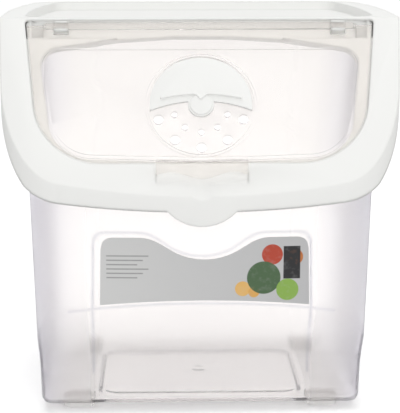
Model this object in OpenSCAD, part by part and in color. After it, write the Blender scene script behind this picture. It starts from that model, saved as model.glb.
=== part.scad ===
// Stackable storage bin: a translucent tapered bin, a white lid frame that
// slopes down to the front, a see-through flip door with a round air vent, and the
// white half-moon dial that opens and shuts the vent.
// X runs across the bin, -Y is the front, +Z is up. The origin is on the table,
// under the middle of the lid.

/* [Lid size] */
// Width of the lid across its skirt
lid_w = 292; // [288:1:298]
// Depth of the lid from its front edge to its back edge
lid_d = 235.5; // [232:0.5:240]
// Depth of the flat rear part of the lid
flat_d = 161.5; // [158:0.5:166]
// Height of the flat top above the table
top_z = 290.5; // [284:0.5:300]
// Height from the lid's front edge up to its flat top
slope_drop = 118.5; // [112:0.5:124]
// Radius of the lid's front corners, seen from above
lid_front_r = 47; // [42:1:50]
// Radius of the lid's back corners, seen from above
lid_back_r = 24; // [20:0.5:27]
// Radius of the lid's sides where they curve in towards the back
side_bow = 400; // [360:10:500]

/* [Lid frame] */
// Thickness of the lid's top
lid_t = 2.6; // [2.4:0.1:3]
// Thickness of the skirt around the lid
skirt_t = 2.2; // [1.8:0.1:2.6]
// Width of the skirt beside the slope, square to the slope
skirt_slope = 10; // [9:0.5:12]
// Height of the skirt around the flat part
skirt_flat = 12; // [12:0.5:15]
// Height of the skirt at the front edge
skirt_front = 12; // [10:0.5:14]
// Width of the half-round pull tongue
tongue_w = 46.5; // [40:0.5:52]
// How far the tongue hangs below the skirt
tongue_drop = 9.6; // [7:0.2:11]
// Depth of the stacking tray in the flat part
tray_depth = 6.8; // [6:0.1:7.5]
// Width of the strip between the tray and the sides
strip_w = 18; // [17:0.5:20]
// Width of the rim behind the tray
rim_w = 10; // [8:0.5:13]
// Width of the ridge between the tray and the slope
ridge_w = 3; // [2.6:0.1:4]
// Corner radius of the tray
tray_r = 14; // [11:1:18]

/* [Bin] */
// Width of the bin at its base
base_w = 237; // [232:0.5:240]
// Depth of the bin's base
base_d = 173; // [168:1:176]
// Thickness of the walls
wall = 2.2; // [2:0.1:2.6]
// Thickness of the floor
floor_t = 2.2; // [2:0.1:3]
// Taper of every wall, in degrees
draft = 1.7; // [1.2:0.1:1.8]
// Gap from the lid's front edge back to the bin's front wall, at the base
front_inset = 11.3; // [11:0.1:12.5]
// Gap from the lid's back edge to the bin's back wall, at the base
back_inset = 16; // [15:0.1:18]
// Radius of the bin's upright corners
corner_r = 21; // [16:1:24]
// Radius of the edge between walls and floor
edge_r = 6.5; // [4:0.5:8]
// Radius of the gentle bow of the front, seen from above
bow_r = 1000; // [800:50:1400]
// Lean of the cut-back lower front, in degrees from upright
toe_angle = 36; // [32:1:38]
// Radius where the cut-back meets the upright toe
toe_r = 40; // [30:2:50]
// Height from the front's crease up to the lid's front edge
crease_drop = 80; // [75:1:84]

/* [Floor] */
// Height of the feet
foot_h = 4.5; // [4:0.1:6]
// Width and depth of a foot
foot_w = 24; // [20:1:26]
// Distance of the feet's centres from the middle
foot_x = 91.5; // [88:0.5:94]
// Height of the raised panel in the floor
panel_rise = 3; // [2:0.2:4]
// Width of the raised panel
panel_w = 154; // [146:1:156]
// Depth of the raised panel
panel_d = 118; // [108:1:122]

/* [Label] */
// Depth of the sunk band on the front
band_depth = 1; // [0.8:0.1:1.2]
// Width of the sunk band at its top
band_w = 154; // [148:1:158]
// Distance from the lid's front edge down to the band's top
band_drop = 27.5; // [25:0.5:30]
// Radius of the scoop in the band's top, around the tongue
scoop_r = 44; // [42:1:46]
// Distance from the lid's front edge down to the scoop's lowest point
scoop_drop = 44.6; // [42:0.2:47]
// Thickness of the label
label_t = 0.4; // [0.3:0.1:0.6]
// Margin of the label inside the band
label_margin = 3.4; // [2.8:0.1:5]
// How far the label is stuck to the right of the middle
label_shift = 2; // [0:0.1:2.2]

/* [Flip door] */
// Thickness of the door
door_t = 2; // [1.8:0.1:2.2]
// Width of the opening that the door lies in, at the hinge
door_w = 254; // [250:1:257]
// Gap between the door and the lid frame
door_gap = 1.2; // [0.8:0.1:1.6]
// Distance of the door's lower edge from the lid's front edge, along the slope
border = 25; // [23:0.5:28]
// Radius of the door's lower corners
door_r = 50; // [44:1:54]
// Depth of the door's sunk panel
panel_sink = 1; // [0.8:0.1:1.2]
// Width of the finger lip
lip_w = 64.7; // [58:0.5:70]
// Height of the finger lip above the door
lip_rise = 4.2; // [3.8:0.1:5]

/* [Hinge] */
// Radius of the door's hinge rod
rod_r = 2.4; // [2.2:0.05:2.5]
// Radius of the thicker barrel between the clips
barrel_r = 2.75; // [2.6:0.05:2.9]
// Running clearance of the rod in its clips
rod_fit = 0.06; // [0.04:0.01:0.08]
// Distance of the hinge line from the fold, along the slope
hinge_v = 6.8; // [6.6:0.1:7.4]
// Depth of the hinge line below the slope
hinge_depth = 0.8; // [0.6:0.1:1]
// Distance of the clips from the middle
clip_x = 100.7; // [98:0.5:103]
// Width of a clip
clip_w = 10.2; // [9:0.2:11]

/* [Air vent] */
// Radius of the vent's ring
ring_r = 40; // [38:0.5:42]
// Distance of the vent's centre from the fold, along the slope
vent_v = 70; // [67:0.5:73]
// Radius of the big air holes
big_r = 3.7; // [3.4:0.1:3.9]
// Distance of the big air holes from the centre
big_ring = 32; // [31:0.5:32.5]
// Radius of the small air holes
small_r = 2.4; // [2.1:0.1:2.6]
// Distance of the small air holes from the centre
small_ring = 20; // [19.5:0.5:21]
// Angle between neighbouring holes
hole_step = 35.5; // [33:0.5:36]
// Thickness of the dial
dial_t = 2.2; // [2:0.1:2.6]
// Radius of the dial's hub
hub_r = 3; // [2.6:0.1:3.4]
// Running clearance of the hub in the door
hub_fit = 0.06; // [0.04:0.01:0.08]

/* [Hidden] */
$fn = 48;

gap = 0.3; // between pieces that rest on each other or slide
skirt_gap = 0.5; // between the skirt and the bin's flange
far = 400; // reach of a cut that passes right through
cut = 0.5; // how far a cut starts outside what it cuts

front_y = -lid_d / 2;
back_y = lid_d / 2;
fold_y = back_y - flat_d;
front_z = top_z - slope_drop;
slope = atan2(slope_drop, fold_y - front_y);
slope_len = slope_drop / sin(slope);
bow_start = fold_y + 40; // the lid's sides are straight up to here
band_top = front_z - band_drop;
scoop_z = front_z - scoop_drop;

door_seat = door_t + gap; // depth of the ledge's top below the slope
ledge_t = 2.2;
rim_slope = door_seat + ledge_t + gap; // depth of the bin's rim below the slope
rim_flat = tray_depth + lid_t + gap; // depth of the bin's rim below the flat top
flange_t = 2.2;
wall_front_y = front_y + front_inset;
wall_back_y = back_y - back_inset;
toe_y = wall_back_y - base_d;
crease_z = front_z - crease_drop;
crease_y = wall_front_y - tan(draft) * crease_z;
toe_top_y = toe_y - toe_r * (1 - cos(toe_angle));
toe_z = crease_z - toe_r * sin(toe_angle) - (toe_top_y - crease_y) / tan(toe_angle);

// Side view of the lid's outer skin, sunk by "d" on the slope and "drop" on the flat.
function slope_y(d, z) = fold_y + (d + cos(slope) * (z - top_z)) / sin(slope);
function slope_z(d, y) = top_z + (sin(slope) * (y - fold_y) - d) / cos(slope);

module under_skin(d, drop) {
    polygon([
        [far, -far],
        [far, top_z - drop],
        [slope_y(d, top_z - drop), top_z - drop],
        [slope_y(d, -far), -far]
    ]);
}

module skin_band(d1, drop1, d2, drop2) {
    difference() {
        under_skin(d1, drop1);
        under_skin(d2, drop2);
    }
}

// Turns a side view drawn in Y and Z into a solid across the bin.
module across(w = far) {
    rotate([90, 0, 90])
        translate([0, 0, -w / 2])
            linear_extrude(w) children();
}

// Turns a front view drawn in X and Z into a solid from y1 back to y2.
module front_view(y1, y2) {
    translate([0, y2, 0])
        rotate([90, 0, 0])
            linear_extrude(y2 - y1) children();
}

// Places children on the slope: X across, Y up the slope from the fold, Z outwards.
module on_slope(v = 0) {
    translate([0, fold_y, top_z])
        rotate([slope, 0, 0])
            translate([0, v, 0]) children();
}

// Extrudes a drawing on the slope from depth "top" to depth "bottom".
module sunk(top, bottom) {
    on_slope()
        translate([0, 0, -bottom])
            linear_extrude(bottom - top) children();
}

module both_sides() {
    for (side = [-1, 1])
        scale([side, 1, 1]) children();
}

// Outline stretched round a set of circles, each given as [x, y, r]. At each angle the
// circle that reaches furthest gives the point, so all circles share one skin.
function skin_points(circles, grow, n) = [
    for (i = [0:n - 1])
        let (
            a = 360 * (i + 0.5) / n,
            out = [cos(a), sin(a)],
            reach = [for (c = circles) c[0] * out[0] + c[1] * out[1] + c[2]],
            best = circles[search(max(reach), reach)[0]]
        )
        [best[0], best[1]] + (best[2] + grow) * out
];

module around(circles, grow = 0, n = 96) {
    polygon(skin_points(circles, grow, n));
}

// The same circles on both sides of the middle.
function mirrored(circles) =
    concat(circles, [for (c = circles) [-c[0], c[1], c[2]]]);

// Rectangle with round corners, centred on the origin.
module round_rect(w, d, r, n = 48) {
    around(mirrored([[w / 2 - r, d / 2 - r, r], [w / 2 - r, r - d / 2, r]]), 0, n);
}

// How far the lid's side has curved in from its widest place, at depth y.
function side_in(y) = pow(max(y - bow_start, 0), 2) / (2 * side_bow);

// Lid outline seen from above, drawn in by "inset": a bowed front between two big
// corners that touch the bow, and sides that close in towards the front and the back.
module lid_plan(inset = 0) {
    front_x = lid_w / 2 - lid_front_r - 2.4;
    bow_y = front_y + bow_r;
    front_c = bow_y - sqrt(pow(bow_r - lid_front_r, 2) - pow(front_x, 2));
    shoulder_r = 40;
    bow_x = front_x * (bow_r - inset) / (bow_r - lid_front_r);
    back_c = back_y - lid_back_r;
    around(mirrored(concat(
        [
            [front_x, front_c, lid_front_r],
            [lid_w / 2 - shoulder_r, fold_y + 2, shoulder_r]
        ],
        [
            for (t = [0:0.25:1])
                let (y = bow_start + t * (back_c - bow_start))
                [lid_w / 2 - lid_back_r - side_in(y), y, lid_back_r]
        ]
    )), -inset);
    intersection() {
        translate([0, bow_y]) circle(bow_r - inset, $fn = 360);
        translate([-bow_x, front_y]) square([2 * bow_x, lid_front_r]);
    }
}

// Bin outline seen from above, with a bowed front, drawn in by "inset".
function arc_points(c, r, a1, a2, n) =
    [for (i = [0:n]) let (a = a1 + (a2 - a1) * i / n) c + r * [cos(a), sin(a)]];

function right_half(inset) =
    let (
        x = base_w / 2 - corner_r,
        swing = asin(x / (bow_r - corner_r)),
        bow_c = [0, wall_front_y + bow_r],
        front_c = bow_c - (bow_r - corner_r) * [-sin(swing), cos(swing)],
        back_c = [x, wall_back_y - corner_r]
    )
    concat(
        arc_points(bow_c, bow_r - inset, -90, -90 + swing, 3),
        arc_points(front_c, corner_r - inset, -90 + swing * 1.5, 0, 7),
        arc_points(back_c, corner_r - inset, 0, 90, 7)
    );

function bin_outline(inset) =
    let (half = right_half(inset), n = len(half))
    concat(half, [for (i = [n - 1:-1:1]) [-half[i][0], half[i][1]]]);

// Solid through a stack of outlines, each given as [height, inset].
module loft(levels) {
    rings = [for (l = levels) [for (p = bin_outline(l[1])) [p[0], p[1], l[0]]]];
    n = len(rings[0]);
    last = len(levels) - 1;
    points = [for (ring = rings) each ring];
    sides = [
        for (k = [0:last - 1], i = [0:n - 1])
            let (a = k * n + i, b = k * n + (i + 1) % n)
            each [[a, a + n, b], [b, a + n, b + n]]
    ];
    caps = [[for (i = [0:n - 1]) i], [for (i = [n - 1:-1:0]) last * n + i]];
    polyhedron(points, concat(sides, caps));
}

// The tapered bin form, drawn in by "inset", standing on height z0.
module bin_form(inset, z0, round_r) {
    lean = tan(draft);
    round_levels = [
        for (a = [0:30:60])
            [z0 + round_r * (1 - cos(a)), inset + round_r * (1 - sin(a))]
    ];
    side_levels = [
        [z0 + round_r, inset - lean * round_r],
        [top_z, inset - lean * (top_z - foot_h)]
    ];
    loft(concat(round_levels, side_levels));
}

// Side view of all that lies behind the front's cut-back, sunk in by "d", up to the rim.
module behind_front(d, rise) {
    steps = 6;
    curve = [
        for (i = [0:steps])
            let (a = toe_angle * i / steps)
            [toe_y - toe_r, toe_z] + (toe_r + d) * [cos(a), sin(a)]
    ];
    intersection() {
        polygon(concat(
            [[far, 0], [toe_y + d, 0]],
            curve,
            [curve[steps] + far * [-sin(toe_angle), cos(toe_angle)], [far, far]]
        ));
        under_skin(rim_slope - rise, rim_flat - rise);
    }
}

// Front view of the sunk band, from the label's top down to the base.
module band_outline(margin = 0) {
    widen = 6; // the band is wider at the base
    horn_r = 6;
    offset(r = horn_r)
        offset(delta = -horn_r)
            difference() {
                polygon([
                    [-band_w / 2 + margin, band_top - margin * 1.1],
                    [band_w / 2 - margin, band_top - margin * 1.1],
                    [band_w / 2 - margin + widen, -far / 4],
                    [-band_w / 2 + margin - widen, -far / 4]
                ]);
                translate([0, scoop_z + scoop_r])
                    circle(scoop_r + margin * 0.75, $fn = 96);
            }
}

module band_cut(depth) {
    front_view(front_y, toe_y + depth) band_outline();
}

// Outer skin of the bin with the band sunk into its front.
module bin_skin() {
    difference() {
        intersection() {
            bin_form(0, foot_h, edge_r);
            across() behind_front(0, 0);
        }
        band_cut(band_depth);
    }
    intersection() {
        bin_form(band_depth, foot_h + cut, edge_r);
        across() behind_front(band_depth, 0);
    }
}

foot_front_y = toe_y + 5 + foot_w / 2;
foot_back_y = wall_back_y - 6 - foot_w / 2;

module at_feet() {
    for (x = [-foot_x, foot_x], y = [foot_front_y, foot_back_y])
        translate([x, y, 0]) children();
}

// One rounded square block standing on height 0.
module pad(size, r, height) {
    linear_extrude(height) round_rect(size, size, r, 32);
}

panel_y = toe_y + 12.4 + panel_d / 2;

module floor_panel(grow, z1, z2) {
    panel_r = 16;
    translate([0, panel_y, z1])
        linear_extrude(z2 - z1)
            round_rect(panel_w + 2 * grow, panel_d + 2 * grow, panel_r + grow);
}

module bin_body() color([0.95, 0.95, 0.94, 0.5]) {
    floor_z = foot_h + floor_t;
    difference() {
        union() {
            bin_skin();
            intersection() {
                linear_extrude(top_z) lid_plan(skirt_t + skirt_gap);
                across() skin_band(
                    rim_slope, rim_flat, rim_slope + flange_t, rim_flat + flange_t);
            }
            at_feet() pad(foot_w, 6, foot_h + cut);
        }
        difference() {
            intersection() {
                bin_form(wall, floor_z, edge_r - wall);
                across() behind_front(wall, cut);
            }
            floor_panel(0, 0, floor_z + panel_rise);
        }
        at_feet()
            translate([0, 0, floor_t])
                pad(foot_w - 2 * wall, 4, foot_h + cut);
        floor_panel(-floor_t, -cut, foot_h + panel_rise);
    }
}

module front_label() color([0.75, 0.76, 0.78]) {
    label_bottom = crease_z + 2.6;
    sag_r = 700; // the lower edge is arched
    intersection() {
        difference() {
            bin_form(band_depth - label_t, foot_h + cut, edge_r);
            bin_form(band_depth, foot_h + cut, edge_r);
        }
        front_view(front_y, wall_front_y + 12)
            difference() {
                translate([label_shift, 0]) band_outline(label_margin);
                translate([0, label_bottom - sag_r]) circle(sag_r, $fn = 360);
            }
    }
}

// Front view of the skirt's tongue.
module tongue_outline() {
    r = (pow(tongue_w / 2, 2) + pow(tongue_drop, 2)) / (2 * tongue_drop);
    intersection() {
        translate([0, front_z - skirt_front - tongue_drop + r]) circle(r, $fn = 96);
        translate([-tongue_w, 0]) square([2 * tongue_w, front_z - 2]);
    }
}

module skirt() {
    rise_d = 15; // the lower edge climbs gently this far back, then follows the slope
    low_z = front_z - skirt_front;
    intersection() {
        linear_extrude(top_z)
            difference() {
                lid_plan();
                lid_plan(skirt_t);
            }
        union() {
            across()
                difference() {
                    under_skin(0, 0);
                    polygon([
                        [far, -far],
                        [far, top_z - skirt_flat],
                        [slope_y(skirt_slope, top_z - skirt_flat), top_z - skirt_flat],
                        [front_y + rise_d, slope_z(skirt_slope, front_y + rise_d)],
                        [front_y - cut, low_z],
                        [front_y - cut, -far]
                    ]);
                }
            front_view(front_y - cut, front_y + 10) tongue_outline();
        }
    }
}

// Outline of the stacking tray, which narrows with the lid, drawn in by "inset".
module tray_outline(inset) {
    y1 = fold_y + ridge_w + tray_r;
    y2 = back_y - rim_w - tray_r;
    around(mirrored([
        for (t = [0:0.25:1])
            let (y = y1 + t * (y2 - y1))
            [lid_w / 2 - strip_w - tray_r - side_in(y), y, tray_r]
    ]), -inset);
}

// Outline of the door's opening, on the slope, drawn in by "inset".
module door_outline(inset = 0) {
    top_r = 2.5;
    top_v = -2;
    low_x = door_w / 2 - door_r - 7; // the opening narrows towards the front
    around(mirrored([
        [low_x, border - slope_len + door_r, door_r],
        [door_w / 2 - top_r, top_v - top_r, top_r]
    ]), -inset);
}

// Circles that the door's sunk panel is stretched round, on the slope.
low_r = 32;
panel_circles = [
    [door_w / 2 - 51, border - slope_len + 4.8 + low_r, low_r],
    [door_w / 2 - 26, -37, 13],
    [0, border - slope_len + 22.2, 20]
];

module panel_outline(grow) {
    around(mirrored(panel_circles), grow);
}

// Mouth of the lid: the panel's outline, with an arched upper edge behind the hinge.
module mouth_outline(grow) {
    arch_r = 600;
    arch_v = -14;
    bead_r = 5;
    arch = [
        for (x = [0:20:60])
            [x, arch_v - bead_r - pow(x, 2) / (2 * arch_r), bead_r]
    ];
    around(mirrored(concat(panel_circles, arch)), 1 + grow);
}

trough_v = -16; // lower edge of the hinge trough, on the slope
trough_top = hinge_depth + barrel_r + 1.6;
trough_half = clip_x + clip_w + 3; // half the length of the hinge trough

// Ledge under the door, the deeper trough under the hinge, and the rib round the mouth.
module door_bed() {
    rib_depth = 5;
    difference() {
        union() {
            sunk(door_seat, door_seat + ledge_t)
                intersection() {
                    door_outline(-lid_t);
                    translate([-far / 2, trough_v - far]) square([far, far]);
                }
            sunk(trough_top, trough_top + ledge_t)
                intersection() {
                    door_outline(-lid_t);
                    translate([-trough_half - 2, trough_v - 16])
                        square([2 * trough_half + 4, far]);
                }
            sunk(door_seat, trough_top + rib_depth) mouth_outline(2);
        }
        sunk(-cut, trough_top + rib_depth + cut) mouth_outline(0);
    }
}

// Snap clip that holds the door's rod: a bore open towards the front.
module hinge_clip() {
    clip_r = rod_r + 1.6;
    lips = 1.3; // how far the clip reaches past the rod's centre
    heel = 3; // reach of its foot towards the tray
    on_slope(-hinge_v)
        translate([-clip_w / 2, 0, -hinge_depth])
            difference() {
                union() {
                    rotate([0, 90, 0]) cylinder(r = clip_r, h = clip_w);
                    translate([0, -clip_r, hinge_depth - trough_top - cut])
                        cube([clip_w, clip_r + heel, trough_top + cut - hinge_depth]);
                }
                translate([-cut, 0, 0])
                    rotate([0, 90, 0]) cylinder(r = rod_r + rod_fit, h = clip_w + 2 * cut);
                translate([-cut, -2 * clip_r, lips])
                    cube([clip_w + 2 * cut, 4 * clip_r, 2 * clip_r]);
            }
}

// Hollow in the lid's front face that lets a finger under the door's lip.
module finger_hollow() {
    dip = 1.4;
    groove_r = 12;
    scoop = 20;
    on_slope(border - slope_len - 10) {
        translate([-lip_w / 2, 0, groove_r - dip])
            rotate([0, 90, 0]) cylinder(r = groove_r, h = lip_w);
        translate([0, 0, scoop - dip])
            rotate([90, 0, 0]) cylinder(r = scoop, h = 2 * border);
    }
}

module lid_frame() color("white") {
    rib_in = wall + skirt_gap;
    rib_t = 1.8;
    rib_d = 6;
    difference() {
        union() {
            intersection() {
                linear_extrude(top_z) lid_plan();
                across() skin_band(0, 0, lid_t, lid_t);
            }
            skirt();
            translate([0, 0, top_z - tray_depth - lid_t])
                linear_extrude(tray_depth + lid_t) tray_outline(-lid_t);
            intersection() {
                door_bed();
                linear_extrude(top_z) lid_plan(skirt_t);
            }
            intersection() {
                difference() {
                    bin_form(rib_in, foot_h, edge_r);
                    bin_form(rib_in + rib_t, foot_h - cut, edge_r);
                }
                across() skin_band(
                    lid_t - cut, lid_t - cut, rim_slope + rib_d, rim_flat + rib_d);
            }
        }
        translate([0, 0, top_z - tray_depth])
            linear_extrude(tray_depth + cut) tray_outline(0);
        sunk(-cut, door_seat) door_outline();
        hinge_space();
        sunk(-cut, trough_top + far / 10) mouth_outline(0);
        finger_hollow();
    }
    both_sides() translate([clip_x, 0, 0]) hinge_clip();
}

// Room that the door's barrel turns in: round behind the hinge line, square before it.
module hinge_space() {
    barrel_room = 0.6;
    hinge_rod(barrel_r + barrel_room, -trough_half, trough_half);
    sunk(door_seat - cut, trough_top)
        translate([-trough_half, trough_v])
            square([2 * trough_half, -trough_v - hinge_v]);
}

module slope_cylinder(v, r, top, bottom) {
    on_slope(v)
        translate([0, 0, -bottom])
            cylinder(r = r, h = bottom - top);
}

// Rod along the hinge line, from x1 to x2.
module hinge_rod(r, x1, x2) {
    on_slope(-hinge_v)
        translate([x1, 0, -hinge_depth])
            rotate([0, 90, 0]) cylinder(r = r, h = x2 - x1);
}

// Air holes in the lower half of the vent: five big ones and five small ones.
module air_holes() {
    for (i = [-2:2])
        on_slope(-vent_v)
            rotate([0, 0, i * hole_step]) {
                translate([0, -big_ring, -far / 20]) cylinder(r = big_r, h = far / 10);
                translate([0, -small_ring, -far / 20]) cylinder(r = small_r, h = far / 10);
            }
}

// Finger lip: a raised shelf whose free edge runs in a soft wave.
module finger_lip() {
    root_v = border - slope_len + 6;
    edge_v = root_v - 16;
    shelf_t = 1.8;
    wave = 2.6;
    wave_w = 44;
    half = lip_w / 2;
    intersection() {
        on_slope()
            translate([-half, 0, 0])
                rotate([90, 0, 90])
                    linear_extrude(lip_w)
                        polygon([
                            [root_v, -door_t],
                            [root_v, 0],
                            [root_v - 5, lip_rise],
                            [edge_v - wave, lip_rise],
                            [edge_v - wave, lip_rise - shelf_t],
                            [root_v - 5.5, lip_rise - shelf_t],
                            [root_v - 4, 0],
                            [root_v - 4, -door_t]
                        ]);
        sunk(-far / 10, far / 10)
            polygon(concat(
                [[half, root_v], [-half, root_v]],
                [for (x = [-half:half / 10:half])
                    [x, edge_v - wave * cos(360 * x / wave_w)]]
            ));
    }
}

module flip_door() color([0.93, 0.93, 0.92, 0.5]) {
    window_w = clip_w + 1.1;
    window_v = hinge_v + 6.6;
    boss_r = 6;
    boss_t = 1.5;
    ring_w = 2;
    ring_h = 1.6;
    difference() {
        union() {
            sunk(0, door_t)
                intersection() {
                    door_outline(door_gap);
                    translate([-far / 2, -hinge_v - far]) square([far, far]);
                }
            sunk(panel_sink, panel_sink + door_t) panel_outline(0);
            hinge_rod(barrel_r, -clip_x + window_w / 2, clip_x - window_w / 2);
            hinge_rod(rod_r, -clip_x - window_w, clip_x + window_w);
            slope_cylinder(-vent_v, ring_r, panel_sink - ring_h, panel_sink + door_t);
            slope_cylinder(-vent_v, boss_r, panel_sink, panel_sink + door_t + boss_t);
            finger_lip();
        }
        difference() {
            sunk(-cut, panel_sink) panel_outline(-door_t);
            slope_cylinder(-vent_v, ring_r, -far / 10, far / 10);
        }
        slope_cylinder(-vent_v, ring_r - ring_w, -far / 10, panel_sink);
        slope_cylinder(-vent_v, hub_r + hub_fit, -far / 10, far / 10);
        air_holes();
        both_sides()
            difference() {
                sunk(-far / 20, far / 20)
                    translate([clip_x - window_w / 2, -window_v])
                        square([window_w, window_v]);
                hinge_rod(rod_r, 0, far / 2);
            }
    }
}

// Dial outline on the slope, about the vent's centre: a half disc with an arched edge.
module dial_outline() {
    dial_r = ring_r - 3.4;
    arch_r = 93;
    tab_r = 9.3;
    difference() {
        circle(dial_r, $fn = 96);
        translate([0, 2.8 - arch_r]) circle(arch_r, $fn = 180);
    }
    circle(tab_r);
}

// Raised grip: two sweeping arms that dip where they meet.
module grip_ridge() {
    reach = 29;
    half_t = 0.8;
    steps = 24;
    line = [
        for (i = [-steps:steps])
            let (x = reach * i / steps)
            [x, 8.2 - 3.4 * pow(x / reach, 2) - 4 * exp(-pow(x / 2.6, 2))]
    ];
    n = len(line);
    polygon(concat(
        [for (i = [0:n - 1]) line[i] + [0, half_t]],
        [for (i = [n - 1:-1:0]) line[i] - [0, half_t]]
    ));
}

module vent_dial() color("white") {
    rest = -panel_sink + gap; // underside of the dial, above the slope
    ridge_h = 1.8;
    under = panel_sink + door_t + 1.5 + gap; // underside of the door's boss
    head_r = hub_r + 0.9;
    head_t = 1.6;
    split_w = 1.2;
    on_slope(-vent_v) {
        translate([0, 0, rest]) linear_extrude(dial_t) dial_outline();
        translate([0, 0, rest]) cylinder(r = 8, h = dial_t + 0.8);
        translate([0, 0, rest + dial_t - cut]) linear_extrude(ridge_h + cut) grip_ridge();
        difference() {
            union() {
                translate([0, 0, -under - head_t])
                    cylinder(r = hub_r, h = under + head_t + rest + cut);
                translate([0, 0, -under - head_t])
                    cylinder(r1 = hub_r, r2 = head_r, h = head_t);
            }
            translate([-split_w / 2, -far / 2, -under - head_t - cut])
                cube([split_w, far, under + head_t - panel_sink]);
        }
    }
}

bin_body();
front_label();
lid_frame();
flip_door();
vent_dial();
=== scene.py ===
"""A potato storage bin in its studio: a translucent tapered bin with a printed label, a
white lid frame, a see-through flip door and a half-moon vent dial. Metres, +Z up, -Y front.
"""

from math import asin, atan2, cos, degrees, pi, radians, sin, sqrt, tan

import bmesh
import bpy
import numpy as np
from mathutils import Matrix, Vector


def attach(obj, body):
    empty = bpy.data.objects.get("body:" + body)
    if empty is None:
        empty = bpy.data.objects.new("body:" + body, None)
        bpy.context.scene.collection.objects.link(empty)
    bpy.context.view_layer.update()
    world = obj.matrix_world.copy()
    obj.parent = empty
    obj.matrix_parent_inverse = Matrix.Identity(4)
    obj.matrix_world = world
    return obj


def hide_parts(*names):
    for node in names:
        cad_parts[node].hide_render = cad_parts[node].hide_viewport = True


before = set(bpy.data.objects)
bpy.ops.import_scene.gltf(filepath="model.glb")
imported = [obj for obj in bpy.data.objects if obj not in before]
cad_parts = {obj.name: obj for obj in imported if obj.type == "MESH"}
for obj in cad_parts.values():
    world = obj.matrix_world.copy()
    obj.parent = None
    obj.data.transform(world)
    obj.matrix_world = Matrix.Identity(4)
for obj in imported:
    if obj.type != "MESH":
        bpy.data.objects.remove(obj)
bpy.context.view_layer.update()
mm = 0.001

# Bin body
# The real piece is one deep moulding in translucent polypropylene, frosted at its corners
# and clearer in the sunk band at the front. It stands on four hollow feet and carries the
# lid on a flange round its rim. Lengths are in mm until a mesh is made.
lid_w = 292
lid_d = 235.5
flat_d = 161.5
top_z = 290.5
slope_drop = 118.5
front_y = -lid_d / 2
back_y = lid_d / 2
fold_y = back_y - flat_d
front_z = top_z - slope_drop
slope = atan2(slope_drop, fold_y - front_y)

base_w = 237
base_d = 173
corner_r = 21
bow_r = 1000
wall = 2.2
lean = tan(radians(1.7))
foot_h = 4.5
foot_w = 24
foot_x = 91.5
edge_r = 6.5
wall_front_y = front_y + 11.3
wall_back_y = back_y - 16
toe_y = wall_back_y - base_d
toe_r = 40
toe_angle = radians(36)
crease_z = front_z - 80
crease_y = wall_front_y - lean * crease_z
toe_top_y = toe_y - toe_r * (1 - cos(toe_angle))
toe_z = crease_z - toe_r * sin(toe_angle) - (toe_top_y - crease_y) / tan(toe_angle)
panel_w = 154
panel_d = 118
panel_y = toe_y + 12.4 + panel_d / 2
panel_rise = 3
front_limit = toe_y + 5  # the outside of the front lies ahead of this depth


class Socket:
    """A shader value: arithmetic on it adds the Math nodes that work it out."""

    def __init__(self, tree, out):
        self.tree = tree
        self.out = out

    def math(self, operation, *others):
        node = self.tree.nodes.new("ShaderNodeMath")
        node.operation = operation
        for place, value in enumerate((self,) + others):
            join(self.tree, value, node.inputs[place])
        return Socket(self.tree, node.outputs[0])

    def __add__(self, other):
        return self.math("ADD", other)

    def __radd__(self, other):
        return self.math("ADD", other)

    def __sub__(self, other):
        return self.math("SUBTRACT", other)

    def __rsub__(self, other):
        return (self * -1).math("ADD", other)

    def __mul__(self, other):
        return self.math("MULTIPLY", other)

    def __rmul__(self, other):
        return self.math("MULTIPLY", other)

    def __truediv__(self, other):
        return self.math("DIVIDE", other)

    def __pow__(self, other):
        return self.math("POWER", other)

    def clamp(self):
        return self.math("MAXIMUM", 0).math("MINIMUM", 1)

    def step(self, start, end):
        """0 below start, 1 above end, and a smooth rise between them."""
        t = ((self - start) / (end - start)).clamp()
        return t * t * (3 - 2 * t)


def join(tree, value, socket):
    """Puts a number, a colour or a link into a node's socket."""
    if isinstance(value, Socket):
        tree.links.new(value.out, socket)
    else:
        socket.default_value = value


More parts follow.
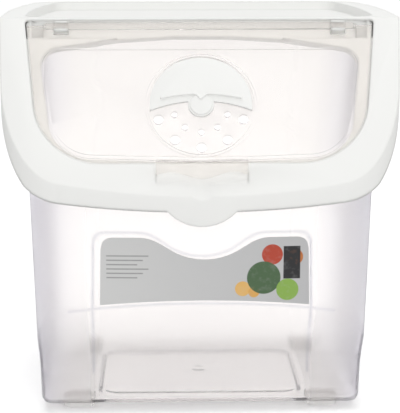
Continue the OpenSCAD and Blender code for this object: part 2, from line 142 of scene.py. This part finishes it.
class Finish:
    """A node material for one piece, built round its main shader."""

    def __init__(self, name, **constants):
        self.material = bpy.data.materials.new(name)
        self.material.use_nodes = True
        self.tree = self.material.node_tree
        self.shader = self.tree.nodes["Principled BSDF"]
        for key, value in constants.items():
            self.shader.inputs[key.replace("_", " ")].default_value = value

    def node(self, kind, settings=None, output=0, **inputs):
        """One node of that kind, its settings made first, then its sockets filled."""
        made = self.tree.nodes.new("ShaderNode" + kind)
        for key, value in (settings or {}).items():
            setattr(made, key, value)
        for key, value in inputs.items():
            join(self.tree, value, made.inputs[key.replace("_", " ")])
        return Socket(self.tree, made.outputs[output])

    def place(self):
        """The point on the piece in metres, as three values and as one vector."""
        whole = self.node("TexCoord", output="Object")
        split = self.tree.nodes.new("ShaderNodeSeparateXYZ")
        join(self.tree, whole, split.inputs[0])
        return [Socket(self.tree, split.outputs[i]) for i in range(3)] + [whole]

    def noise(self, vector, scale, detail=3):
        return self.node("TexNoise", Vector=vector, Scale=scale, Detail=detail)

    def mix(self, factor, low, high):
        """A colour between two others."""
        made = self.tree.nodes.new("ShaderNodeMix")
        made.data_type = "RGBA"
        join(self.tree, factor, made.inputs[0])
        join(self.tree, low, made.inputs[6])
        join(self.tree, high, made.inputs[7])
        return Socket(self.tree, made.outputs[2])

    def set(self, **values):
        for key, value in values.items():
            join(self.tree, value, self.shader.inputs[key.replace("_", " ")])

    def soak(self, colour, density):
        """Light lost along its way inside the plastic, so a wall seen edge on is darker."""
        inside = self.tree.nodes.new("ShaderNodeVolumeAbsorption")
        inside.inputs["Color"].default_value = colour
        inside.inputs["Density"].default_value = density
        self.tree.links.new(inside.outputs[0], self.tree.nodes["Material Output"].inputs["Volume"])

    def bump(self, height, distance, strength, edge=None):
        """Fine relief on the surface. With edge given, in metres, the piece's edges catch
        the light as if they were rounded to that radius."""
        relief = {"Height": height, "Distance": distance, "Strength": strength}
        if edge:
            relief["Normal"] = self.node("Bevel", {"samples": 8}, Radius=edge)
        self.set(Normal=self.node("Bump", **relief))


def grid_faces(rows, columns, start=0, wrap=True):
    """Corner numbers of the quads between rows of points, the last column joined to the
    first when wrap is true."""
    i = np.arange(rows - 1)[:, None]
    j = np.arange(columns if wrap else columns - 1)[None, :]
    here = start + i * columns + j
    beside = start + i * columns + (j + 1) % columns
    return np.stack([here, beside, beside + columns, here + columns], -1).reshape(-1, 4)


def solid(name, material, *grids, sharp=40):
    """A piece from grids of points in mm, each given as (points, wrap). Points that meet
    are joined, and edges that bend by more than the sharp angle stay crisp."""
    points = []
    faces = []
    count = 0
    for grid, wrap in grids:
        faces.append(grid_faces(*grid.shape[:2], count, wrap))
        points.append(grid.reshape(-1, 3) * mm)
        count += len(points[-1])
    mesh = bpy.data.meshes.new(name)
    mesh.from_pydata(np.concatenate(points).tolist(), [], np.concatenate(faces).tolist())
    joined = bmesh.new()
    joined.from_mesh(mesh)
    bmesh.ops.remove_doubles(joined, verts=joined.verts, dist=1e-6)
    bmesh.ops.recalc_face_normals(joined, faces=joined.faces)
    joined.to_mesh(mesh)
    joined.free()
    mesh.shade_smooth()
    mesh.set_sharp_from_angle(angle=radians(sharp))
    mesh.materials.append(material)
    obj = bpy.data.objects.new(name, mesh)
    bpy.context.scene.collection.objects.link(obj)
    return obj


def soft_min(a, b, k):
    """The lower of two values, with a round of size k where they meet."""
    return np.minimum(a, b) - k * np.maximum(0, 1 - np.abs(a - b) / k) ** 2 / 4


# Directions from the middle of the floor panel, closest together where the band's edges
# and the front corners lie. Measured from straight ahead round to straight back.
spread = np.concatenate([
    np.linspace(0, 23, 20, endpoint=False),
    np.linspace(23, 35, 10, endpoint=False),
    np.linspace(35, 50, 52, endpoint=False),
    np.linspace(50, 62, 12, endpoint=False),
    np.linspace(62, 125, 14, endpoint=False),
    np.linspace(125, 146, 20, endpoint=False),
    np.linspace(146, 180, 12, endpoint=False),
])
turn = np.radians(np.concatenate([spread, [180], -spread[:0:-1]]))
ways = np.stack([np.sin(turn), -np.cos(turn)], 1)
way_angle = np.arctan2(ways[:, 0], -ways[:, 1])


def polar(outline):
    """How far a closed outline reaches from the panel's middle along each direction."""
    closed = np.vstack([outline, outline[:1]]) - (0, panel_y)
    length = np.concatenate([[0], np.cumsum(np.linalg.norm(np.diff(closed, axis=0), axis=1))])
    spacing = 0.4
    fine = np.linspace(0, length[-1], int(length[-1] / spacing))
    x = np.interp(fine, length, closed[:, 0])
    y = np.interp(fine, length, closed[:, 1])
    angle = np.arctan2(x, -y)
    order = np.argsort(angle)
    return np.interp(way_angle, angle[order], np.hypot(x, y)[order], period=2 * pi)


def arc(centre, r, start, end, n=60):
    """Points along a circle from one angle to another, in degrees."""
    a = np.radians(np.linspace(start, end, n))
    return np.array(centre) + r * np.stack([np.cos(a), np.sin(a)], 1)


def mirror(half):
    """A closed outline from its right half, listed from the front to the back."""
    return np.vstack([half, half[::-1] * (-1, 1)])


def round_rect(w, d, r, middle_y):
    """Outline of a rectangle with round corners."""
    x = w / 2 - r
    y = d / 2 - r
    return mirror(np.vstack([
        arc((x, middle_y - y), r, -90, 0), arc((x, middle_y + y), r, 0, 90)
    ]))


def wall_reach(inset):
    """The bin's outline seen from above: a bowed front, straight sides and round corners."""
    x = base_w / 2 - corner_r
    swing = degrees(asin(x / (bow_r - corner_r)))
    bow_c = (0, wall_front_y + bow_r)
    front_c = (x, bow_c[1] - sqrt((bow_r - corner_r) ** 2 - x**2))
    back_c = (x, wall_back_y - corner_r)
    return polar(mirror(np.vstack([
        arc(bow_c, bow_r - inset, -90, -90 + swing),
        arc(front_c, corner_r - inset, -90 + swing, 0),
        arc(back_c, corner_r - inset, 0, 90),
    ])))


def cut_y(z, inset):
    """Depth of the cut-back lower front at height z: an upright toe, a round, a slope."""
    r = toe_r + inset
    rise = np.clip(z - toe_z, 0, r * sin(toe_angle))
    curve = toe_y - toe_r + np.sqrt(r**2 - rise**2)
    return curve - max(0, z - toe_z - r * sin(toe_angle)) * tan(toe_angle)


def wall_ring(z, inset, sink):
    """Reach of the wall at height z, drawn in by inset, and cut back at the front."""
    least_ahead = -0.2
    ahead = np.minimum(ways[:, 1], least_ahead)
    beyond_all = 999
    cut = np.where(ways[:, 1] < least_ahead, (cut_y(z, sink) - panel_y) / ahead, beyond_all)
    crease_round = 5
    return soft_min(wall_reach(inset), cut, crease_round)


def ring(reach, z):
    """Points at a reach and a height, both given for each direction."""
    flat = ways * np.asarray(reach)[:, None] + (0, panel_y)
    return np.column_stack([flat, np.broadcast_to(z, len(ways))])


def skin_z(sink, drop, y):
    """Height of the lid's flat top and slope at depth y, sunk by drop and sink."""
    sloping = top_z + (sin(slope) * (y - fold_y) - sink) / cos(slope)
    return np.minimum(top_z - drop, sloping)


band_w = 154
band_depth = 1
band_r = 9
band_top = front_z - 27.5
scoop_r = 44
scoop_z = front_z - 44.6
widen = 6 / (band_top + 100)


def band_inside(x, z, margin=0):
    """How far a point of the front lies inside the sunk band, in mm."""
    side = band_w / 2 - margin + widen * (band_top - z) - np.abs(x)
    top = band_top - 1.1 * margin - z
    scoop = np.hypot(x, z - scoop_z - scoop_r) - scoop_r - 0.75 * margin
    return soft_min(soft_min(side, top, band_r), scoop, band_r)


def bin_wall(z0, round_r, inset, sink, drops, band=0):
    """Rows of the wall from the floor's edge up to the rim, which follows the lid's skin
    sunk by drops. The sunk band is pressed in by band. The rows lie closest together at
    the crease and at the band's top edge."""
    bend = np.radians(np.linspace(0, 90, 6))
    heights = z0 + round_r * (1 - np.cos(bend))
    insets = inset + round_r * (1 - np.sin(bend)) - lean * (heights - z0) * np.sin(bend)
    heights = np.concatenate([
        heights,
        np.linspace(z0 + round_r, 70, 20)[1:],
        np.linspace(70, 104, 28)[1:],
        np.linspace(104, 124, 6)[1:],
        np.linspace(124, 149, 28)[1:],
    ])
    insets = np.concatenate([insets, inset - lean * (heights[len(bend):] - z0)])
    toe_round = 3
    rows = []
    for z, drawn_in in zip(heights, insets):
        low = max(0, toe_round - (z - z0))
        under = toe_round - sqrt(toe_round**2 - low**2)
        rows.append(ring(wall_ring(z, drawn_in, sink + under), z))
    start = heights[-1]
    low = wall_reach(inset - lean * (start - z0))
    high = wall_reach(inset - lean * (top_z - z0))
    z = np.full(len(ways), start)
    for share in np.linspace(0, 1, 16)[1:]:
        for _ in range(4):
            reach = low + (high - low) * (z - start) / (top_z - start)
            end = skin_z(*drops, panel_y + ways[:, 1] * reach)
            z = start + share * (end - start)
        rows.append(ring(reach, z))
    rows = np.array(rows)
    step_w = 0.9
    shift = np.clip(0.5 + band_inside(rows[..., 0], rows[..., 2]) / step_w, 0, 1)
    rows[..., 1] += band * shift**2 * (3 - 2 * shift) * (rows[..., 1] < front_limit)
    return rows


def panel_reach(grow):
    """Reach of the floor panel's outline, grown by some mm."""
    panel_r = 16
    return polar(round_rect(panel_w + 2 * grow, panel_d + 2 * grow, panel_r + grow, panel_y))


def floor_rows(edge, z, grow, round_r=1.3):
    """Rows of one side of the floor, from its edge in to the middle of the raised panel,
    where the gate of the mould left a small dimple."""
    low_edge = panel_reach(grow + round_r)
    rows = [ring(edge + (low_edge - edge) * share, z) for share in (0.3, 0.65)]
    for a in np.radians(np.linspace(0, 90, 5)):
        rows.append(ring(panel_reach(grow + round_r * (1 - sin(a))), z + round_r * (1 - cos(a))))
    for a in np.radians(np.linspace(90, 0, 5)):
        top = z + panel_rise - round_r * (1 - cos(a))
        rows.append(ring(panel_reach(grow - round_r * (1 - sin(a))), top))
    inner = panel_reach(grow - round_r)
    rows += [ring(inner * share, z + panel_rise) for share in (0.75, 0.5, 0.25)]
    for reach, dip in ((6, 0), (5, 0.1), (4, 0.5), (2, 0.7), (0, 0.7)):
        rows.append(ring(np.full(len(ways), reach), z + panel_rise - dip))
    return np.array(rows)


def lid_outline(inset, n=1600):
    """The lid's outline seen from above: one skin stretched round circles at its corners
    and along its curved sides, with a bowed front."""
    front_r = 47
    back_r = 24
    shoulder_r = 40
    front_x = lid_w / 2 - front_r - 2.4
    bow_y = front_y + bow_r
    front_c = bow_y - sqrt((bow_r - front_r) ** 2 - front_x**2)
    circles = [(front_x, front_c, front_r), (lid_w / 2 - shoulder_r, fold_y + 2, shoulder_r)]
    for y in np.linspace(fold_y + 40, back_y - back_r, 24):
        circles.append((lid_w / 2 - back_r - side_in(y), y, back_r))
    circles = np.array(circles)
    circles = np.vstack([circles, circles * (-1, 1, 1)])
    a = np.radians(np.linspace(-90, 90, n))
    out = np.stack([np.cos(a), np.sin(a)], 1)
    furthest = np.argmax(out @ circles[:, :2].T + circles[:, 2], axis=1)
    half = circles[furthest, :2] + (circles[furthest, 2] - inset)[:, None] * out
    bow_x = front_x * (bow_r - inset) / (bow_r - front_r)
    x = np.linspace(0, bow_x, 200)
    bow = np.stack([x, bow_y - np.sqrt((bow_r - inset) ** 2 - x**2)], 1)
    return mirror(np.vstack([bow, half[half[:, 0] > bow_x]]))


def side_in(y):
    """How far the lid's side has curved in from its widest place, at depth y."""
    return np.maximum(y - fold_y - 40, 0) ** 2 / 800


def foot(x, y):
    """Rows of one hollow foot, a small cup with its mouth in the floor."""
    outer = foot_w - 0.6
    inner = outer - 2 * wall
    mouth_z = foot_h + 1
    rows = []
    for width, z in (
        (0, 0), (outer - 2, 0), (outer - 0.6, 0.3), (outer, 1), (outer, mouth_z),
        (inner, mouth_z), (inner, 3.2), (inner - 1.6, wall), (0, wall),
    ):
        r = min(6, width / 2)
        c = width / 2 - r
        flat = np.vstack([
            arc((x + c * u, y + c * v), r, start, start + 90, n=10)
            for u, v, start in ((1, 1, 0), (-1, 1, 90), (-1, -1, 180), (1, -1, 270))
        ])
        rows.append(np.column_stack([flat, np.full(len(flat), z)]))
    return np.array(rows)


flange_t = 2.2
rim = (4.8, 9.7)  # depth of the rim below the lid's slope and below its flat top
rim_under = (rim[0] + flange_t, rim[1] + flange_t)
outside = bin_wall(foot_h, edge_r, 0, 0, rim_under, band_depth)
inside = bin_wall(foot_h + wall, edge_r - wall, wall, wall, rim)
under_floor = floor_rows(np.hypot(outside[0, :, 0], outside[0, :, 1] - panel_y), foot_h, -wall)
floor = floor_rows(np.hypot(inside[0, :, 0], inside[0, :, 1] - panel_y), foot_h + wall, 0)
flange = polar(lid_outline(2.7))
flange_y = panel_y + ways[:, 1] * flange
flange_low = ring(flange, skin_z(*rim_under, flange_y))
flange_high = ring(flange, skin_z(*rim, flange_y))
bin_rows = np.vstack([
    under_floor[::-1], outside, [flange_low], [flange_high], inside[::-1], floor
])


def front_lines(x, y, z):
    """Painted shade along the front's two fine lines, the edge of the sunk band and the crease
    below it: 1 on them, falling to 0 beside them."""
    band_spread = 1.1
    crease_spread = 0.7
    crease_end = 96
    band_line = np.exp(-((band_inside(x, z) / band_spread) ** 2))
    face = wall_front_y + bow_r - np.sqrt(bow_r**2 - x**2) - lean * (z - foot_h)
    slant = np.array([cut_y(height, 0) for height in z])
    crease_line = np.exp(-(((face - slant) / crease_spread) ** 2)) * (np.abs(x) < crease_end)
    return np.maximum(band_line, crease_line) * (y < front_limit) * (z > toe_z)


see_through = {"Transmission_Weight": 0.92, "IOR": 1.15}
frosted = Finish("frosted polypropylene", **see_through)
x, y, z, point = frosted.place()
window = 1 - x.math("ABSOLUTE").step(80.5 * mm, 83.5 * mm)
cloud = frosted.noise(point, 25)
grain = frosted.noise(point, 900)
line = frosted.node("Attribute", {"attribute_name": "line"}, output="Fac")
# Painted shade: the bin's colour is greyed towards its sides, where its walls are seen edge on and
# look darker.
side_shade_mask = x.math("ABSOLUTE").step(97 * mm, 126 * mm)
# Painted shade: the feet, below about 4 mm, are darkened as they stand in the shade under the bin.
shaded_feet = 1 - z.step(3.6 * mm, 4.6 * mm)
plain = frosted.mix(cloud, (0.965, 0.95, 0.945, 1), (0.985, 0.972, 0.962, 1))
side_shaded = frosted.mix(side_shade_mask, plain, (0.88, 0.87, 0.9, 1))
# Painted shade: dark fine lines along the sunk band's edge and along the crease below it.
lined = frosted.mix(line * 0.7, side_shaded, (0.72, 0.72, 0.76, 1))
frosted.set(
    Base_Color=frosted.mix(shaded_feet, lined, (0.7, 0.69, 0.68, 1)),
    Roughness=0.36 - window * 0.2 + (cloud - 0.5) * 0.08,
)
frosted.bump(grain, 0.02 * mm, 0.3)
frosted.soak((0.55, 0.53, 0.6, 1), 16)
foot_depths = (toe_y + 5 + foot_w / 2, wall_back_y - 6 - foot_w / 2)
feet = [foot(place, depth) for place in (-foot_x, foot_x) for depth in foot_depths]
bin_shell = solid(
    "bin_shell", frosted.material, (bin_rows, True), *[(cup, True) for cup in feet]
)
shell_points = np.array([v.co for v in bin_shell.data.vertices]) / mm
bin_shell.data.attributes.new("line", "FLOAT", "POINT").data.foreach_set(
    "value", front_lines(*shell_points.T)
)
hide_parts("bin_body")
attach(bin_shell, "bin")

# Label
# The real piece is a printed film stuck in the sunk band, silver grey with a soft gloss.
# It follows the bow of the front, and its top edge follows the band's scoop.
label_margin = 3.4
label_shift = 2
label_low = crease_z + 2.6
label_t = 0.35
label_back = band_depth - 0.05
sag_r = 700


def label_skin(inset):
    """Grid over the label, from its arched lower edge to its scooped top edge. The top is
    found by halving, for each place across it, the height where the band's outline ends."""
    u = np.linspace(-1, 1, 161)
    low = np.full(u.shape, label_low - 6.0)
    high = np.full(u.shape, band_top)

    def half(z):
        return band_w / 2 - label_margin + widen * (band_top - z)

    for _ in range(40):
        z = (low + high) / 2
        just_in = 0.9999
        held = band_inside(u * half(z) * just_in, z, label_margin) > 0
        low = np.where(held, z, low)
        high = np.where(held, high, z)
    x = label_shift + u * half(label_low)
    start = label_low - sag_r + np.sqrt(sag_r**2 - x**2)
    z = start + (low - start) * np.linspace(0, 1, 24)[:, None]
    x = label_shift + u * half(z)
    drawn_in = inset - lean * (z - foot_h)
    y = wall_front_y + bow_r - np.sqrt((bow_r - drawn_in) ** 2 - x**2)
    return np.stack([x, y, z], -1)


def slab(front, back):
    """Two grids of the same shape as one grid that wraps, joined at their left and right
    sides. Their top and bottom edges, a film's thickness apart, stay open."""
    return np.concatenate([front, back[:, ::-1]], axis=1)


film = Finish("label film", Roughness=0.32, Specular_IOR_Level=0.4)
x, y, z, point = film.place()


def disc(cx, cz, r, soft=0.25):
    """1 inside a circle on the label, given in mm."""
    far = ((x - cx * mm) ** 2 + (z - cz * mm) ** 2) ** 0.5
    return 1 - far.step((r - soft) * mm, (r + soft) * mm)


def between(value, start, end, soft):
    """1 between two places along one direction, given in mm."""
    rise = value.step((start - soft) * mm, (start + soft) * mm)
    return rise - value.step((end - soft) * mm, (end + soft) * mm)


def block(x1, x2, z1, z2, soft=0.25):
    """1 inside a rectangle on the label, given in mm."""
    return between(x, x1, x2, soft) * between(z, z1, z2, soft)


# Painted sheen: the silver film is lighter on its left and darker on its right.
painted_sheen = film.mix((x / (150 * mm) + 0.5).clamp(), (0.62, 0.62, 0.615, 1), (0.5, 0.5, 0.505, 1))
mottle = film.noise(point, 300, 4)
print_layers = [
    (disc(66, 126, 6), (0.5, 0.16, 0.04, 1)),
    (disc(50, 128, 7.5), (0.45, 0.06, 0.03, 1)),
    (disc(29, 103, 5.5), (0.75, 0.45, 0.14, 1)),
    (disc(37, 100.5, 4), (0.7, 0.38, 0.1, 1)),
    (disc(44, 111, 12), (0.07, 0.13, 0.06, 1)),
    (disc(61, 102, 8), (0.25, 0.42, 0.08, 1)),
    (block(58, 70, 110, 134), (0.02, 0.02, 0.022, 1)),
]
for row in range(6):
    low_z = 127 - row * 3.2
    bar = block(-68, -38 - 4 * (row % 3), low_z, low_z + 0.9)
    print_layers.append((bar * 0.6, (0.12, 0.12, 0.12, 1)))
colour = painted_sheen
for mask, ink in print_layers:
    colour = film.mix(mask * (0.75 + mottle * 0.5).clamp(), colour, ink)
film.set(Base_Color=colour)
film.bump(film.noise(point, 700), 0.01 * mm, 0.3)
label_slab = slab(label_skin(label_back - label_t), label_skin(label_back))
label = solid("printed_label", film.material, (label_slab, True))
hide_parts("front_label")
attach(label, "bin")

# Lid frame
# The real piece is a white satin moulding that snaps over the bin's flange. Its slope holds
# the door, and its flat top holds a shallow tray.


def rounded_copy(node, name, material, width, segments=3, angle=28):
    """A CAD node's solid as a piece of its own, with its loose triangles joined into whole
    faces and its edges rounded by a bevel of at most that width in mm. Blender narrows the
    whole bevel to what the closest corners leave free: 0.003 mm on the lid, 0.03 mm on the
    door and 0.2 mm on the dial. The lid's soft edges are in its finish instead."""
    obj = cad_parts[node].copy()
    obj.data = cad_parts[node].data.copy()
    obj.name = name
    obj.parent = None
    for key in [k for k in obj.keys() if k.startswith("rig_")]:
        del obj[key]
    bpy.context.scene.collection.objects.link(obj)
    joined = bmesh.new()
    joined.from_mesh(obj.data)
    bmesh.ops.remove_doubles(joined, verts=joined.verts, dist=1e-6)
    bmesh.ops.dissolve_limit(
        joined, angle_limit=radians(0.5), verts=joined.verts, edges=joined.edges
    )
    joined.to_mesh(obj.data)
    joined.free()
    obj.data.materials.clear()
    obj.data.materials.append(material)
    obj.data.shade_smooth()
    bevel = obj.modifiers.new("edges", "BEVEL")
    bevel.width = width * mm
    bevel.segments = segments
    bevel.limit_method = "ANGLE"
    bevel.angle_limit = radians(angle)
    bevel.harden_normals = True
    bevel.use_clamp_overlap = True
    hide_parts(node)
    return obj


def satin_finish(name, edge):
    """White satin plastic, its edges softened to a radius in mm."""
    satin = Finish(name, Roughness=0.42)
    x, y, z, point = satin.place()
    satin.set(
        Base_Color=satin.mix(
            satin.noise(point, 18), (0.845, 0.847, 0.828, 1), (0.862, 0.864, 0.845, 1)
        ),
        Roughness=0.42 + (satin.noise(point, 60) - 0.5) * 0.08,
    )
    satin.bump(satin.noise(point, 1200), 0.015 * mm, 0.25, edge * mm)
    return satin.material


lid = rounded_copy("lid_frame", "lid_frame_shell", satin_finish("white satin lid", 2.5), 0.8)
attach(lid, "lid")

# Flip door
# The real piece is a thin see-through moulding with its own hinge rod.
clear = Finish("clear polypropylene", **see_through)
x, y, z, point = clear.place()
clear.set(
    Base_Color=clear.mix(
        clear.noise(point, 25), (0.945, 0.925, 0.91, 1), (0.96, 0.942, 0.925, 1)
    ),
    Roughness=0.25 + (clear.noise(point, 40) - 0.5) * 0.06,
)
clear.bump(clear.noise(point, 900), 0.015 * mm, 0.2)
door = rounded_copy("flip_door", "flip_door_shell", clear.material, 0.3, 2)
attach(door, "door")

# Vent dial
# The real piece is a white half disc that snaps into the door's middle.
dial = rounded_copy("vent_dial", "vent_dial_disc", satin_finish("white satin dial", 0.6), 0.3)
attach(dial, "dial")

# Studio
# A pale floor that runs into a white surround, with a large soft lamp overhead and another
# in front. None of it belongs to the bin. Lengths are in metres here.
floor_mesh = bpy.data.meshes.new("studio_floor")
half = 6
floor_mesh.from_pydata(
    [(-half, -half, 0), (half, -half, 0), (half, half, 0), (-half, half, 0)],
    [],
    [(0, 1, 2, 3)],
)
floor_sheet = bpy.data.objects.new("studio_floor", floor_mesh)
bpy.context.scene.collection.objects.link(floor_sheet)
paper = Finish("floor paper", Roughness=0.9, Specular_IOR_Level=0)
paper.set(Base_Color=(0.95, 0.95, 0.95, 1))
x, y, z, point = paper.place()
# Painted shadow: the floor's glow for the camera drops by 0.2 in a box under the bin.
shadow_across = 1 - x.math("ABSOLUTE").step(0.112, 0.126)
shadow_along = 1 - (y - 0.009).math("ABSOLUTE").step(0.081, 0.09)
lift = 0.35 + y.step(0.2, 1.5) * 0.12 - shadow_across * shadow_along * 0.2
direct = paper.node("LightPath", output="Is Camera Ray") * lift
through = paper.node("LightPath", output="Is Transmission Ray") * 0.49
paper.set(
    Emission_Color=paper.mix(direct + through, (0, 0, 0, 1), (1, 1, 1, 1)), Emission_Strength=1
)
floor_mesh.materials.append(paper.material)


def soft_lamp(name, place, target, size, power):
    """A square lamp at a place, turned to face a point."""
    light = bpy.data.lights.new(name, "AREA")
    light.shape = "SQUARE"
    light.size = size
    light.energy = power
    lamp = bpy.data.objects.new(name, light)
    lamp.location = place
    lamp.rotation_euler = (Vector(target) - Vector(place)).to_track_quat("-Z", "Y").to_euler()
    bpy.context.scene.collection.objects.link(lamp)
    return lamp


middle = (0, 0, 0.15)
soft_lamp("top_lamp", (0, -0.1, 1.6), middle, 1.6, 8)
soft_lamp("front_lamp", (0.3, -1.9, 1.1), middle, 1.4, 10)

world = bpy.data.worlds.new("white surround")
world.use_nodes = True
bpy.context.scene.world = world
surround = world.node_tree.nodes["Background"]
surround.inputs["Color"].default_value = (1, 1, 1, 1)
path = world.node_tree.nodes.new("ShaderNodeLightPath")
in_view = (
    Socket(world.node_tree, path.outputs["Is Camera Ray"])
    + Socket(world.node_tree, path.outputs["Is Transmission Ray"])
    + Socket(world.node_tree, path.outputs["Is Glossy Ray"])
).clamp()
ambient = 0.6
join(world.node_tree, ambient + in_view * (1 - ambient), surround.inputs["Strength"])
bpy.context.scene.view_settings.view_transform = "Standard"

camera_data = bpy.data.cameras.new("camera")
camera = bpy.data.objects.new("camera", camera_data)
bpy.context.scene.collection.objects.link(camera)
bpy.context.scene.camera = camera
camera_data.sensor_width = 36
camera_data.lens = 130.75
camera.location = (-0.028, -1.1413, 0.3816)
camera.rotation_euler = (radians(90 - 11.94), 0, radians(-1.473))
